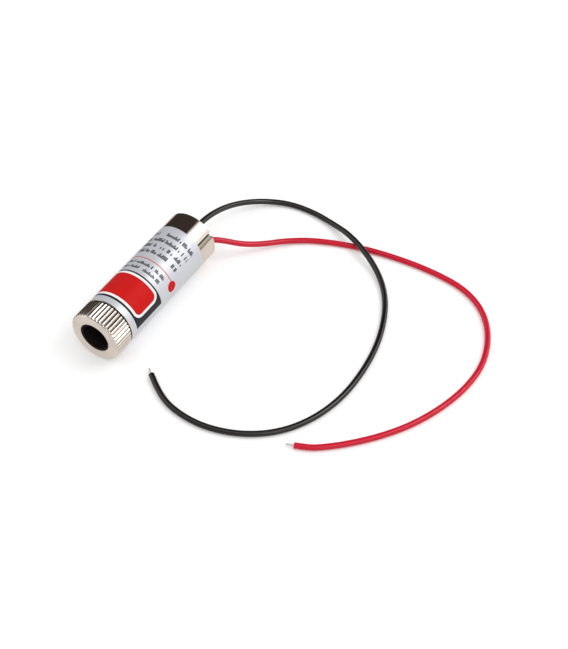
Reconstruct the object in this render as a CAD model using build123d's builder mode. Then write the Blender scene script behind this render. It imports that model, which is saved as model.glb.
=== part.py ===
from build123d import *
import os
from math import cos, radians, sin, sqrt, tan

# Laser diode module, 12 mm in diameter, lying on its side.
# The axis runs along Y at half the tube's diameter above the floor. The beam leaves towards -Y
# and the two leads leave the open rear end towards +Y. The origin is under the middle of the
# module, on the floor. All sizes are in millimetres.

# Tube
TUBE_D = 12.0
TUBE_LENGTH = 30.4
TUBE_EDGE = 0.1
THREAD_WALL = 1.5
THREAD_BORE_DEPTH = 11.6
REAR_WALL = 1.1
SLOT_WIDTH = 1.2
SLOT_LENGTH = 4.8

# Label, laid in a shallow relief so that the tube still slides into a holder
LABEL_FILM = 0.08
LABEL_FRONT_LAND = 0.15
LABEL_REAR_LAND = 4.95
LABEL_SEAM_WIDTH = 0.6
LABEL_SEAM_ANGLE = 215.0

# Focus cap: a fluted head and the threaded stem that screws into the tube
CAP_HEAD_LENGTH = 4.8
CAP_CLOSED_GAP = 0.1
CAP_TURNED_OUT = 0.2
CAP_FRONT_EDGE = 0.35
CAP_REAR_EDGE = 0.1
CAP_BORE_EDGE = 0.08
STEM_LENGTH = 6.4
STEM_WALL = 0.52
THREAD_CLEARANCE = 0.08
CELL_SEAT_DEPTH = 4.5
CELL_SEAT_STEP = 0.4
FLUTE_COUNT = 42
FLUTE_WIDTH = 0.72
FLUTE_DEPTH = 0.26
FLUTE_OVERCUT = 0.05
FLUTE_START_ANGLE = 3.0

# Lens, its black cell and the ring that keeps it in
CELL_RECESS = 0.15
CELL_REAR_RECESS = 0.15
CELL_NOSE_WALL = 0.37
CELL_WALL = 0.59
CELL_LIP = 0.55
CONE_SLOPE = 2.0
LENS_DEPTH = 6.6
LENS_EDGE_THICKNESS = 1.1
LENS_FLAT_RIM = 0.65
LENS_DOME_RADIUS = 3.6
RETAINER_LENGTH = 1.2
RETAINER_WALL = 0.55
PRESS_CLEARANCE = 0.03

# Spring behind the cap
SPRING_WIRE_D = 0.44
SPRING_TURNS = 5

# Laser diode and the ring that carries it
HOLDER_LENGTH = 4.0
HOLDER_HOLE_D = 4.0
DIODE_SEAT_DEPTH = 1.6
DIODE_BASE_D = 5.6
DIODE_BASE_THICKNESS = 1.2
DIODE_NOTCH = 0.4
DIODE_CAN_D = 3.55
DIODE_CAN_HEIGHT = 2.3
DIODE_CAN_EDGE = 0.3
WINDOW_D = 1.6
WINDOW_THICKNESS = 0.25
PIN_D = 0.45
PIN_CIRCLE_D = 2.0
PIN_LENGTH = 3.3
PIN_ANGLES = (45, 135, 225)

# Driver board, which stands in the two slots at the rear of the tube
BOARD_TILT = 29.0
BOARD_THICKNESS = 0.8
BOARD_SIDE_CLEARANCE = 0.2
BOARD_FRONT_GAP = 1.75
BOARD_REAR_INSET = 0.3
BOARD_EAR_INSET = 0.15
BOARD_EAR_CLEARANCE = 0.1
BOARD_CORNER = 0.3

# Components on the board: length, width and height
TRANSISTOR = (1.3, 2.9, 1.0)
TRANSISTOR_AT = (-1.9, 9.4)
TRANSISTOR_LEG = (0.4, 0.55, 0.35)
TRANSISTOR_LEG_PITCH = 0.95
RESISTOR = (1.25, 2.0, 0.45)
RESISTOR_CAP = 0.35
RESISTOR_LIP = 0.05
RESISTORS_ABOVE_AT = ((1.6, 8.3), (3.2, 8.3))
RESISTORS_BELOW_AT = ((2.3, 8.6),)
CAPACITOR = (1.6, 3.2, 1.6)
CAPACITOR_AT = (-1.2, 9.6)
CAPACITOR_TAB = 0.8
PART_EDGE = 0.15
SOLDER_LENGTH = 1.5
SOLDER_WIDTH = 1.3
SOLDER_COVER = 0.35
SOLDER_EDGE = 0.3
PIN_SOLDER_LENGTH = 1.3
PIN_SOLDER_WIDTH = 0.9

# Leads: insulated wire with a bare tinned end
LEAD_D = 1.3
CONDUCTOR_D = 0.5
CONDUCTOR_LENGTH = 1.7
ARC_SHARE = 0.45

# Routes of the leads, from the solder joint on the board to the end of the insulation
BLACK_ROUTE = [
    (0.6, 12.8, 7.7), (0.6, 16.4, 7.7), (0.3, 20.8, 7.6), (0.4, 25.4, 6.7), (0.7, 30.2, 4.9),
    (1.8, 35.2, 2.7), (4.8, 39.6, 1.1), (9.8, 42.3, 0.65), (15.9, 42.8, 0.65), (21.7, 41.8, 0.9),
    (27.2, 39.7, 2.2), (33.2, 36.8, 2.2), (38.6, 33.6, 0.9), (43.0, 28.7, 0.65), (46.3, 22.2, 0.65),
    (48.5, 14.9, 0.65), (49.4, 7.2, 0.65), (49.2, -0.4, 0.65), (47.2, -7.9, 0.65), (43.3, -14.3, 0.65),
    (37.4, -18.9, 0.65), (30.2, -21.4, 0.65), (23.3, -21.4, 0.65), (17.4, -19.6, 0.65),
    (12.8, -16.0, 0.65),
]
RED_ROUTE = [
    (3.2, 12.9, 6.4), (3.2, 15.9, 6.4), (4.3, 18.8, 6.1), (6.6, 20.9, 5.0), (9.3, 23.4, 3.3),
    (12.2, 27.0, 1.8), (15.3, 31.2, 0.9), (20.0, 34.8, 0.65), (26.4, 37.5, 0.65), (33.2, 39.4, 0.65),
    (40.5, 40.5, 0.65), (48.4, 40.9, 0.65), (56.2, 40.1, 0.65), (62.6, 36.6, 0.65), (67.1, 30.6, 0.65),
    (69.6, 23.1, 0.65), (69.4, 15.4, 0.65), (67.5, 7.9, 0.65), (64.5, 1.1, 0.65), (60.6, -4.7, 0.65),
    (56.3, -9.5, 0.65), (52.9, -12.6, 0.65), (50.2, -14.6, 0.65), (47.4, -15.6, 0.65),
]

# Places along the axis
TUBE_REAR = (TUBE_LENGTH + CAP_HEAD_LENGTH + CAP_CLOSED_GAP + CAP_TURNED_OUT) / 2
TUBE_FRONT = TUBE_REAR - TUBE_LENGTH
CAP_REAR = TUBE_FRONT - CAP_CLOSED_GAP - CAP_TURNED_OUT
CAP_FACE = CAP_REAR - CAP_HEAD_LENGTH
STEM_END = CAP_REAR + STEM_LENGTH
HOLDER_FRONT = TUBE_FRONT + THREAD_BORE_DEPTH
HOLDER_REAR = HOLDER_FRONT + HOLDER_LENGTH
DIODE_SEAT = HOLDER_REAR - DIODE_SEAT_DEPTH
DIODE_REAR = DIODE_SEAT + DIODE_BASE_THICKNESS
LABEL_FRONT = TUBE_FRONT + LABEL_FRONT_LAND
LABEL_REAR = TUBE_REAR - LABEL_REAR_LAND
CELL_FRONT = CAP_FACE + CELL_RECESS
CELL_SEAT = CAP_FACE + CELL_SEAT_DEPTH
CELL_END = STEM_END - CELL_REAR_RECESS
LENS_FRONT = CAP_FACE + LENS_DEPTH
LENS_REAR = LENS_FRONT + LENS_EDGE_THICKNESS
BOARD_FRONT = DIODE_REAR + BOARD_FRONT_GAP
BOARD_REAR = TUBE_REAR - BOARD_REAR_INSET

# Radii, from the outside in
TUBE_R = TUBE_D / 2
AXIS_HEIGHT = TUBE_R
RELIEF_R = TUBE_R - LABEL_FILM
REAR_BORE_R = TUBE_R - REAR_WALL
THREAD_BORE_R = TUBE_R - THREAD_WALL
STEM_R = THREAD_BORE_R - THREAD_CLEARANCE
SPRING_R = STEM_R - STEM_WALL / 2
CELL_SEAT_R = STEM_R - STEM_WALL
CELL_R = CELL_SEAT_R - PRESS_CLEARANCE
CAP_BORE_R = CELL_SEAT_R - CELL_SEAT_STEP
CELL_NOSE_R = CAP_BORE_R - PRESS_CLEARANCE
CELL_BORE_R = CELL_NOSE_R - CELL_NOSE_WALL
LENS_POCKET_R = CELL_R - CELL_WALL
LENS_R = LENS_POCKET_R - PRESS_CLEARANCE
APERTURE_R = LENS_R - CELL_LIP
DOME_R = LENS_R - LENS_FLAT_RIM
DIODE_BASE_R = DIODE_BASE_D / 2
CAN_R = DIODE_CAN_D / 2
WINDOW_R = WINDOW_D / 2

# Planes: one through the axis for turned profiles, and one on the tilted board's middle
MODULE_AXIS = Axis((0, 0, AXIS_HEIGHT), (0, 1, 0))
SECTION = Plane(origin=(0, 0, AXIS_HEIGHT), x_dir=(0, 1, 0), z_dir=(1, 0, 0))
TILT_COS, TILT_SIN = cos(radians(BOARD_TILT)), sin(radians(BOARD_TILT))
BOARD = Plane(origin=(0, 0, AXIS_HEIGHT), x_dir=(TILT_COS, 0, TILT_SIN), z_dir=(-TILT_SIN, 0, TILT_COS))
BOARD_UP = Axis(BOARD.origin, BOARD.z_dir)


def across(y, tilt=0.0):
    """The plane square to the axis at y, facing the rear, with its X axis turned up by tilt."""
    turned = (cos(radians(tilt)), 0, sin(radians(tilt)))
    return Plane(origin=(0, y, AXIS_HEIGHT), x_dir=turned, z_dir=(0, 1, 0))


def on_board(point):
    """A point's place across the board, along the module and above the board's middle."""
    x, y, height = point[0], point[1], point[2] - AXIS_HEIGHT
    return x * TILT_COS + height * TILT_SIN, y, height * TILT_COS - x * TILT_SIN


def turned_profile(*points):
    """A closed outline of (place along the axis, radius) points, drawn in the section plane."""
    Polygon(*points, align=None)


def save(builder, name):
    """Labels a finished piece and writes its STEP file."""
    builder.part.label = name
    export_step(builder.part, f"parts/{name}.step")


os.makedirs("parts", exist_ok=True)

# Tube: threaded bore in front, wider bore behind, and one saw cut across the rear end
with BuildPart() as body_tube:
    with BuildSketch(SECTION):
        turned_profile(
            (TUBE_FRONT, THREAD_BORE_R + TUBE_EDGE),
            (TUBE_FRONT, TUBE_R - TUBE_EDGE),
            (TUBE_FRONT + TUBE_EDGE, TUBE_R),
            (LABEL_FRONT, TUBE_R),
            (LABEL_FRONT, RELIEF_R),
            (LABEL_REAR, RELIEF_R),
            (LABEL_REAR, TUBE_R),
            (TUBE_REAR - TUBE_EDGE, TUBE_R),
            (TUBE_REAR, TUBE_R - TUBE_EDGE),
            (TUBE_REAR, REAR_BORE_R + TUBE_EDGE),
            (TUBE_REAR - TUBE_EDGE, REAR_BORE_R),
            (HOLDER_FRONT, REAR_BORE_R),
            (HOLDER_FRONT, THREAD_BORE_R),
            (TUBE_FRONT + TUBE_EDGE, THREAD_BORE_R),
        )
    revolve(axis=MODULE_AXIS)
    # The board lies on the lower side of the cut, so the cut is wider on the upper side only
    with BuildSketch(BOARD.offset(-BOARD_THICKNESS / 2)):
        with Locations((0, TUBE_REAR - SLOT_LENGTH / 2)):
            Rectangle(TUBE_D + SLOT_WIDTH, SLOT_LENGTH)
    extrude(amount=SLOT_WIDTH, mode=Mode.SUBTRACT)
save(body_tube, "body_tube")

# Label: a film wrapped once round the tube, with its seam away from the front view
with BuildPart() as label_wrap:
    with BuildSketch(across(LABEL_FRONT, LABEL_SEAM_ANGLE)):
        Circle(TUBE_R)
        Circle(RELIEF_R, mode=Mode.SUBTRACT)
        with Locations((TUBE_R, 0)):
            Rectangle(TUBE_R, LABEL_SEAM_WIDTH, mode=Mode.SUBTRACT)
    extrude(amount=LABEL_REAR - LABEL_FRONT)
save(label_wrap, "label_wrap")

# Focus cap: straight flutes all along the head, edges turned off, stem and stepped bore
FLUTE_HALF = FLUTE_WIDTH / 2 * (1 + FLUTE_OVERCUT / FLUTE_DEPTH)
FLUTE_OUTLINE = ((FLUTE_OVERCUT, FLUTE_HALF), (-FLUTE_DEPTH, 0), (FLUTE_OVERCUT, -FLUTE_HALF))
with BuildPart() as focus_cap:
    with BuildSketch(across(CAP_FACE)):
        Circle(TUBE_R)
        with PolarLocations(TUBE_R, FLUTE_COUNT, start_angle=FLUTE_START_ANGLE - 90):
            Polygon(*FLUTE_OUTLINE, align=None, mode=Mode.SUBTRACT)
    extrude(amount=CAP_HEAD_LENGTH)
    with BuildSketch(SECTION):
        turned_profile(
            (CAP_FACE, 0),
            (CAP_FACE, TUBE_R - CAP_FRONT_EDGE),
            (CAP_FACE + CAP_FRONT_EDGE, TUBE_R),
            (CAP_REAR - CAP_REAR_EDGE, TUBE_R),
            (CAP_REAR, TUBE_R - CAP_REAR_EDGE),
            (CAP_REAR, 0),
        )
    revolve(axis=MODULE_AXIS, mode=Mode.INTERSECT)
    with BuildSketch(SECTION):
        turned_profile((CAP_REAR, 0), (CAP_REAR, STEM_R), (STEM_END, STEM_R), (STEM_END, 0))
    revolve(axis=MODULE_AXIS)
    with BuildSketch(SECTION):
        turned_profile(
            (CAP_FACE, 0),
            (CAP_FACE, CAP_BORE_R + CAP_BORE_EDGE),
            (CAP_FACE + CAP_BORE_EDGE, CAP_BORE_R),
            (CELL_SEAT, CAP_BORE_R),
            (CELL_SEAT, CELL_SEAT_R),
            (STEM_END, CELL_SEAT_R),
            (STEM_END, 0),
        )
    revolve(axis=MODULE_AXIS, mode=Mode.SUBTRACT)
save(focus_cap, "focus_cap")

# Lens cell: a black sleeve that lines the cap's bore, with a cone down to the lens aperture
CONE_END = CELL_SEAT + CONE_SLOPE * (CELL_BORE_R - APERTURE_R)
with BuildPart() as lens_cell:
    with BuildSketch(SECTION):
        turned_profile(
            (CELL_FRONT, CELL_BORE_R),
            (CELL_FRONT, CELL_NOSE_R),
            (CELL_SEAT, CELL_NOSE_R),
            (CELL_SEAT, CELL_R),
            (CELL_END, CELL_R),
            (CELL_END, LENS_POCKET_R),
            (LENS_FRONT, LENS_POCKET_R),
            (LENS_FRONT, APERTURE_R),
            (CONE_END, APERTURE_R),
            (CELL_SEAT, CELL_BORE_R),
        )
    revolve(axis=MODULE_AXIS)
save(lens_cell, "lens_cell")

# Lens: a flat rim and a dome that faces out
DOME_CENTRE = LENS_FRONT + sqrt(LENS_DOME_RADIUS**2 - DOME_R**2)
DOME_MIDDLE = DOME_CENTRE - sqrt(LENS_DOME_RADIUS**2 - (DOME_R / 2) ** 2)
DOME_TOP = DOME_CENTRE - LENS_DOME_RADIUS
with BuildPart() as lens:
    with BuildSketch(SECTION):
        with BuildLine():
            ThreePointArc((LENS_FRONT, DOME_R), (DOME_MIDDLE, DOME_R / 2), (DOME_TOP, 0))
            Polyline((DOME_TOP, 0), (LENS_REAR, 0), (LENS_REAR, LENS_R), (LENS_FRONT, LENS_R),
                     (LENS_FRONT, DOME_R))
        make_face()
    revolve(axis=MODULE_AXIS)
save(lens, "lens")

# Ring behind the lens
with BuildPart() as lens_retainer:
    with BuildSketch(across(LENS_REAR)):
        Circle(LENS_R)
        Circle(LENS_R - RETAINER_WALL, mode=Mode.SUBTRACT)
    extrude(amount=RETAINER_LENGTH)
save(lens_retainer, "lens_retainer")

# Spring between the stem and the diode holder, its ends ground flat
SPRING_SPAN = HOLDER_FRONT - STEM_END
with BuildPart() as focus_spring:
    with BuildLine() as coil:
        Helix(
            pitch=SPRING_SPAN / SPRING_TURNS,
            height=SPRING_SPAN,
            radius=SPRING_R,
            center=(0, STEM_END, AXIS_HEIGHT),
            direction=(0, 1, 0),
        )
    with BuildSketch(Plane(origin=coil.line @ 0, z_dir=coil.line % 0)):
        Circle(SPRING_WIRE_D / 2)
    sweep(path=coil.line, is_frenet=True)
    with BuildSketch(across(STEM_END)):
        Circle(SPRING_R + SPRING_WIRE_D)
    extrude(amount=SPRING_SPAN, mode=Mode.INTERSECT)
save(focus_spring, "focus_spring")

# Diode holder: a ring pressed in from the rear up to the tube's inner shoulder
with BuildPart() as diode_holder:
    with BuildSketch(SECTION):
        turned_profile(
            (HOLDER_FRONT, HOLDER_HOLE_D / 2),
            (HOLDER_FRONT, REAR_BORE_R - PRESS_CLEARANCE),
            (HOLDER_REAR, REAR_BORE_R - PRESS_CLEARANCE),
            (HOLDER_REAR, DIODE_BASE_R + PRESS_CLEARANCE),
            (DIODE_SEAT, DIODE_BASE_R + PRESS_CLEARANCE),
            (DIODE_SEAT, HOLDER_HOLE_D / 2),
        )
    revolve(axis=MODULE_AXIS)
save(diode_holder, "diode_holder")

# Diode base, with the notch that shows which way round it goes
with BuildPart() as diode_base:
    with BuildSketch(across(DIODE_SEAT)):
        Circle(DIODE_BASE_R)
        with Locations((DIODE_BASE_R, 0)):
            Rectangle(DIODE_NOTCH, DIODE_NOTCH, mode=Mode.SUBTRACT)
    extrude(amount=DIODE_BASE_THICKNESS)
save(diode_base, "diode_base")

# Diode can: sealed, with a window set in its roof
CAN_ROOF = DIODE_SEAT - DIODE_CAN_HEIGHT
with BuildPart() as diode_can:
    with BuildSketch(SECTION):
        turned_profile(
            (CAN_ROOF, WINDOW_R),
            (CAN_ROOF, CAN_R - DIODE_CAN_EDGE),
            (CAN_ROOF + DIODE_CAN_EDGE, CAN_R),
            (DIODE_SEAT, CAN_R),
            (DIODE_SEAT, 0),
            (CAN_ROOF + WINDOW_THICKNESS, 0),
            (CAN_ROOF + WINDOW_THICKNESS, WINDOW_R),
        )
    revolve(axis=MODULE_AXIS)
save(diode_can, "diode_can")

with BuildPart() as diode_window:
    with BuildSketch(across(CAN_ROOF)):
        Circle(WINDOW_R - PRESS_CLEARANCE)
    extrude(amount=WINDOW_THICKNESS)
save(diode_window, "diode_window")

# Three pins that straddle the board
PIN_PLACES = [
    (PIN_CIRCLE_D / 2 * cos(radians(angle)), PIN_CIRCLE_D / 2 * sin(radians(angle))) for angle in PIN_ANGLES
]
with BuildPart() as diode_pins:
    with BuildSketch(across(DIODE_REAR, BOARD_TILT)):
        # This plane's Y axis points down, so a height above the board is negative here
        with Locations(*[(side, -height) for side, height in PIN_PLACES]):
            Circle(PIN_D / 2)
    extrude(amount=PIN_LENGTH)
save(diode_pins, "diode_pins")

# Driver board: as wide as the bore in front, with ears that lie in the slots
EAR_LENGTH = SLOT_LENGTH - BOARD_EAR_CLEARANCE - BOARD_REAR_INSET
with BuildPart() as driver_board:
    with BuildSketch(BOARD.offset(-BOARD_THICKNESS / 2)):
        with Locations((0, (BOARD_FRONT + BOARD_REAR) / 2)):
            Rectangle(2 * (REAR_BORE_R - BOARD_SIDE_CLEARANCE), BOARD_REAR - BOARD_FRONT)
        with Locations((0, BOARD_REAR - EAR_LENGTH / 2)):
            Rectangle(TUBE_D - 2 * BOARD_EAR_INSET, EAR_LENGTH)
    extrude(amount=BOARD_THICKNESS)
    fillet(driver_board.edges().filter_by(BOARD_UP).group_by(Axis.Y)[0], BOARD_CORNER)
    fillet(driver_board.edges().filter_by(BOARD_UP).group_by(Axis.Y)[-1], BOARD_CORNER)
save(driver_board, "driver_board")


def board_face(side):
    """The board's upper face for side 1, or its lower face, facing down, for side -1."""
    middle = BOARD if side > 0 else Plane(origin=BOARD.origin, x_dir=-BOARD.x_dir, z_dir=-BOARD.z_dir)
    return middle.offset(BOARD_THICKNESS / 2)


def places(side, spots):
    """Spots across and along the board, in the coordinates of the face on that side."""
    return Locations(*[(side * spot[0], spot[1]) for spot in spots])


# Transistor: a moulded body with three legs
with BuildPart() as drive_transistor:
    with BuildSketch(board_face(1).offset(TRANSISTOR_LEG[2] / 2)):
        with places(1, [TRANSISTOR_AT]):
            Rectangle(TRANSISTOR[0], TRANSISTOR[1])
    extrude(amount=TRANSISTOR[2])
    chamfer(drive_transistor.faces().sort_by(BOARD_UP)[-1].edges(), PART_EDGE)
    leg_side = (TRANSISTOR[0] + TRANSISTOR_LEG[1]) / 2
    legs = [(leg_side, TRANSISTOR_LEG_PITCH), (leg_side, -TRANSISTOR_LEG_PITCH), (-leg_side, 0)]
    with BuildSketch(board_face(1)):
        with places(1, [(TRANSISTOR_AT[0] + leg[0], TRANSISTOR_AT[1] + leg[1]) for leg in legs]):
            Rectangle(TRANSISTOR_LEG[1], TRANSISTOR_LEG[0])
    extrude(amount=TRANSISTOR_LEG[2])
save(drive_transistor, "drive_transistor")

# Chip resistors: a ceramic slab between two raised metal ends
with BuildPart() as board_resistors:
    for side, spots in ((1, RESISTORS_ABOVE_AT), (-1, RESISTORS_BELOW_AT)):
        with BuildSketch(board_face(side)):
            with places(side, spots):
                Rectangle(RESISTOR[0], RESISTOR[1])
        extrude(amount=RESISTOR[2])
        end_spots = [
            (spot[0], spot[1] + end * (RESISTOR[1] - RESISTOR_CAP) / 2) for spot in spots for end in (-1, 1)
        ]
        with BuildSketch(board_face(side)):
            with places(side, end_spots):
                Rectangle(RESISTOR[0], RESISTOR_CAP)
        extrude(amount=RESISTOR[2] + RESISTOR_LIP)
save(board_resistors, "board_resistors")

# Capacitor: a moulded block with a tab at each end
with BuildPart() as filter_capacitor:
    with BuildSketch(board_face(-1)):
        with places(-1, [CAPACITOR_AT]):
            Rectangle(CAPACITOR[0], CAPACITOR[1])
    extrude(amount=CAPACITOR[2])
    chamfer(filter_capacitor.faces().sort_by(BOARD_UP)[0].edges(), PART_EDGE)
    tab_spots = [
        (CAPACITOR_AT[0], CAPACITOR_AT[1] + end * (CAPACITOR[1] + PART_EDGE) / 2) for end in (-1, 1)
    ]
    with BuildSketch(board_face(-1)):
        with places(-1, tab_spots):
            Rectangle(CAPACITOR_TAB, PART_EDGE)
    extrude(amount=CAPACITOR[2] / 2)
save(filter_capacitor, "filter_capacitor")

# Solder round the diode's pins, each joint open where its pin lies
with BuildPart() as diode_solder:
    for side_place, height in PIN_PLACES:
        side = 1 if height > 0 else -1
        with BuildSketch(board_face(side)):
            with places(side, [(side_place, BOARD_FRONT + PIN_SOLDER_LENGTH / 2)]):
                Rectangle(PIN_SOLDER_WIDTH, PIN_SOLDER_LENGTH)
        extrude(amount=abs(height) - BOARD_THICKNESS / 2 + PIN_D / 4)
    add(diode_pins.part, mode=Mode.SUBTRACT)
save(diode_solder, "diode_solder")

# Solder that holds the start of each lead
with BuildPart() as lead_solder:
    for route in (BLACK_ROUTE, RED_ROUTE):
        lead_side, lead_start, lead_height = on_board(route[0])
        side = 1 if lead_height > 0 else -1
        with BuildSketch(board_face(side)):
            with places(side, [(lead_side, lead_start - SOLDER_LENGTH / 2)]):
                RectangleRounded(SOLDER_WIDTH, SOLDER_LENGTH, SOLDER_EDGE)
        extrude(amount=abs(lead_height) - BOARD_THICKNESS / 2 + SOLDER_COVER)
save(lead_solder, "lead_solder")


def arc_radii(route):
    """The radius of the arc at each inner point: as large as the two runs beside it allow."""
    points = [Vector(*point) for point in route]
    radii = []
    for before, corner, after in zip(points, points[1:], points[2:]):
        turn = (corner - before).get_angle(after - corner)
        shorter = min((corner - before).length, (after - corner).length)
        radii.append(ARC_SHARE * shorter / tan(radians(turn) / 2))
    return radii


def insulation(route, name):
    """Builds one lead's insulated tube along its route and prints its length and radii."""
    radii = arc_radii(route)
    with BuildPart() as lead:
        with BuildLine() as path:
            FilletPolyline(*route, radius=radii)
        with BuildSketch(Plane(origin=path.line @ 0, z_dir=path.line % 0)):
            Circle(LEAD_D / 2)
        sweep(path=path.line)
    length = sum(edge.length for edge in path.line.edges())
    expected = length * 3.14159265 * LEAD_D**2 / 4
    print(f"{name}: {length:.1f} mm long, volume {lead.part.volume / expected:.4f} of area x length")
    print("  arc radii", " ".join(f"{radius:.1f}" for radius in radii))
    return lead


def bare_end(route):
    """The tinned conductor that sticks out of the insulation, in line with the last run."""
    along = (Vector(*route[-1]) - Vector(*route[-2])).normalized()
    with BuildPart() as tip:
        with BuildSketch(Plane(origin=route[-1], z_dir=along)):
            Circle(CONDUCTOR_D / 2)
        extrude(amount=CONDUCTOR_LENGTH)
        far_end = tip.faces().sort_by(Axis(route[-1], along))[-1]
        fillet(far_end.edges(), CONDUCTOR_D / 4)
    return tip


black_lead = insulation(BLACK_ROUTE, "black_lead")
save(black_lead, "black_lead")
red_lead = insulation(RED_ROUTE, "red_lead")
save(red_lead, "red_lead")
black_lead_tip = bare_end(BLACK_ROUTE)
save(black_lead_tip, "black_lead_tip")
red_lead_tip = bare_end(RED_ROUTE)
save(red_lead_tip, "red_lead_tip")
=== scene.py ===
# %% [markdown]
# A laser diode module is a small metal tube with a laser diode inside, a fluted cap that turns to
# focus the beam, a printed film wrapped round the tube, and two wires. The exact solids come first, as
# a fixed frame. This file then adds the view, the light, the finishes and the pieces that need a
# softer or finer shape.

from math import atan2, cos, degrees, hypot, pi, radians, sin

import bmesh
import bpy
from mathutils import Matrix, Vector


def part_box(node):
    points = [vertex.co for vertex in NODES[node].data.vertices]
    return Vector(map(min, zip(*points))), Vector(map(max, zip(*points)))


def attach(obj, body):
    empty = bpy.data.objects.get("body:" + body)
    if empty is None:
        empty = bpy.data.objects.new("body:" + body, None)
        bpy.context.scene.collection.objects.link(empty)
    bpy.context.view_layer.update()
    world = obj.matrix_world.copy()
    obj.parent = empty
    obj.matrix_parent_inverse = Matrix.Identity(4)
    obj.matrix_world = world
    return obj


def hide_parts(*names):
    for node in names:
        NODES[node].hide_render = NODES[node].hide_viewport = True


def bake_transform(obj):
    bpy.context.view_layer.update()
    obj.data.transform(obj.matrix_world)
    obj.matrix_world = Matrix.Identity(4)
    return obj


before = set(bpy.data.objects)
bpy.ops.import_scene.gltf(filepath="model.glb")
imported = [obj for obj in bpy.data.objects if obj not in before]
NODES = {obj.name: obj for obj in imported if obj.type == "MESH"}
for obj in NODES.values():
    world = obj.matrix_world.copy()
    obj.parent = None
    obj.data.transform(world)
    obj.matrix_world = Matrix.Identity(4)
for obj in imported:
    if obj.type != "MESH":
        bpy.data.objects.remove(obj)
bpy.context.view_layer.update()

# %% [markdown]
# The sizes that several pieces share are written once. Where a solid already has a size, it is read
# from the solid, so that a new piece lands on it. The frame is in metres. Sizes that are given are
# in millimetres, as on a drawing of such a small part, and MM turns them into metres.

# %% Shared sizes
MM = 0.001
TUBE_LOW, TUBE_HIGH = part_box("body_tube")
CAP_LOW, CAP_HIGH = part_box("focus_cap")
AXIS_HEIGHT = (TUBE_LOW.z + TUBE_HIGH.z) / 2
TUBE_RADIUS = (TUBE_HIGH.z - TUBE_LOW.z) / 2
FACE = CAP_LOW.y / MM
HEAD_RADIUS, FACE_RADIUS, BORE_RADIUS = 6.0, 5.65, 3.5
print("tube from", round(TUBE_LOW.y / MM, 2), "to", round(TUBE_HIGH.y / MM, 2), "mm along its axis")

# %% [markdown]
# The camera stands where the photographer stood: about 32 cm away, 49 degrees above the table and
# 32 degrees round from the front. A longish lens keeps the tube's sides almost parallel.

# %% Camera
CAMERA_PLACE = Vector((138.5, -162.85, 233.4)) * MM
CAMERA_AZIMUTH, CAMERA_ELEVATION = 32.41, 48.61
CAMERA_LENS = 80.73
camera_data = bpy.data.cameras.new("camera")
camera_data.lens = CAMERA_LENS
camera_data.sensor_width = 36.0
camera_data.clip_start = 0.01
camera = bpy.data.objects.new("camera", camera_data)
camera.location = CAMERA_PLACE
camera.rotation_euler = (radians(90 - CAMERA_ELEVATION), 0, radians(CAMERA_AZIMUTH))
bpy.context.scene.collection.objects.link(camera)
bpy.context.scene.camera = camera
print("camera stands", round(CAMERA_PLACE.length / MM), "mm from the origin")

# %% [markdown]
# Each wire is a curve with a round section. It could be a mesh swept along a path, but a curve stays
# round in every bend and keeps one line that can be measured. The points are the same control points
# that the solid tube was made from. A spline of order 3 rounds them off, so the wire lies on the table
# in one easy line from the solder joint to its cut end.

# %% Wires
LEAD_DIAMETER = 1.3 * MM
BLACK_ROUTE = [
    (0.6, 12.8, 7.7), (0.6, 16.4, 7.7), (0.3, 20.8, 7.6), (0.4, 25.4, 6.7), (0.7, 30.2, 4.9),
    (1.8, 35.2, 2.7), (4.8, 39.6, 1.1), (9.8, 42.3, 0.65), (15.9, 42.8, 0.65), (21.7, 41.8, 0.9),
    (27.2, 39.7, 2.2), (33.2, 36.8, 2.2), (38.6, 33.6, 0.9), (43.0, 28.7, 0.65), (46.3, 22.2, 0.65),
    (48.5, 14.9, 0.65), (49.4, 7.2, 0.65), (49.2, -0.4, 0.65), (47.2, -7.9, 0.65), (43.3, -14.3, 0.65),
    (37.4, -18.9, 0.65), (30.2, -21.4, 0.65), (23.3, -21.4, 0.65), (17.4, -19.6, 0.65),
    (12.8, -16.0, 0.65),
]
RED_ROUTE = [
    (3.2, 12.9, 6.4), (3.2, 15.9, 6.4), (4.3, 18.8, 6.1), (6.6, 20.9, 5.0), (9.3, 23.4, 3.3),
    (12.2, 27.0, 1.8), (15.3, 31.2, 0.9), (20.0, 34.8, 0.65), (26.4, 37.5, 0.65), (33.2, 39.4, 0.65),
    (40.5, 40.5, 0.65), (48.4, 40.9, 0.65), (56.2, 40.1, 0.65), (62.6, 36.6, 0.65), (67.1, 30.6, 0.65),
    (69.6, 23.1, 0.65), (69.4, 15.4, 0.65), (67.5, 7.9, 0.65), (64.5, 1.1, 0.65), (60.6, -4.7, 0.65),
    (56.3, -9.5, 0.65), (52.9, -12.6, 0.65), (50.2, -14.6, 0.65), (47.4, -15.6, 0.65),
]


def wire(name, route):
    """A round wire along a smooth spline whose control points are the route, given in millimetres."""
    curve = bpy.data.curves.new(name, "CURVE")
    curve.dimensions = "3D"
    curve.bevel_depth = LEAD_DIAMETER / 2
    curve.bevel_resolution = 6
    curve.resolution_u = 12
    curve.use_fill_caps = True
    spline = curve.splines.new("NURBS")
    spline.points.add(len(route) - 1)
    for point, place in zip(spline.points, route):
        point.co = (*(Vector(place) * MM), 1)
    spline.order_u = 3
    spline.use_endpoint_u = True
    piece = bpy.data.objects.new(name, curve)
    bpy.context.scene.collection.objects.link(piece)
    return piece


black_wire = wire("black_wire", BLACK_ROUTE)
red_wire = wire("red_wire", RED_ROUTE)
print("the wires follow", len(BLACK_ROUTE), "and", len(RED_ROUTE), "control points")

# %% [markdown]
# Every finish below is shader maths. This small class wraps a node's output, so that a formula such
# as 1 - mask * 0.5 adds the Math nodes by itself. Everything that isn't maths goes through one method.

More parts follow.
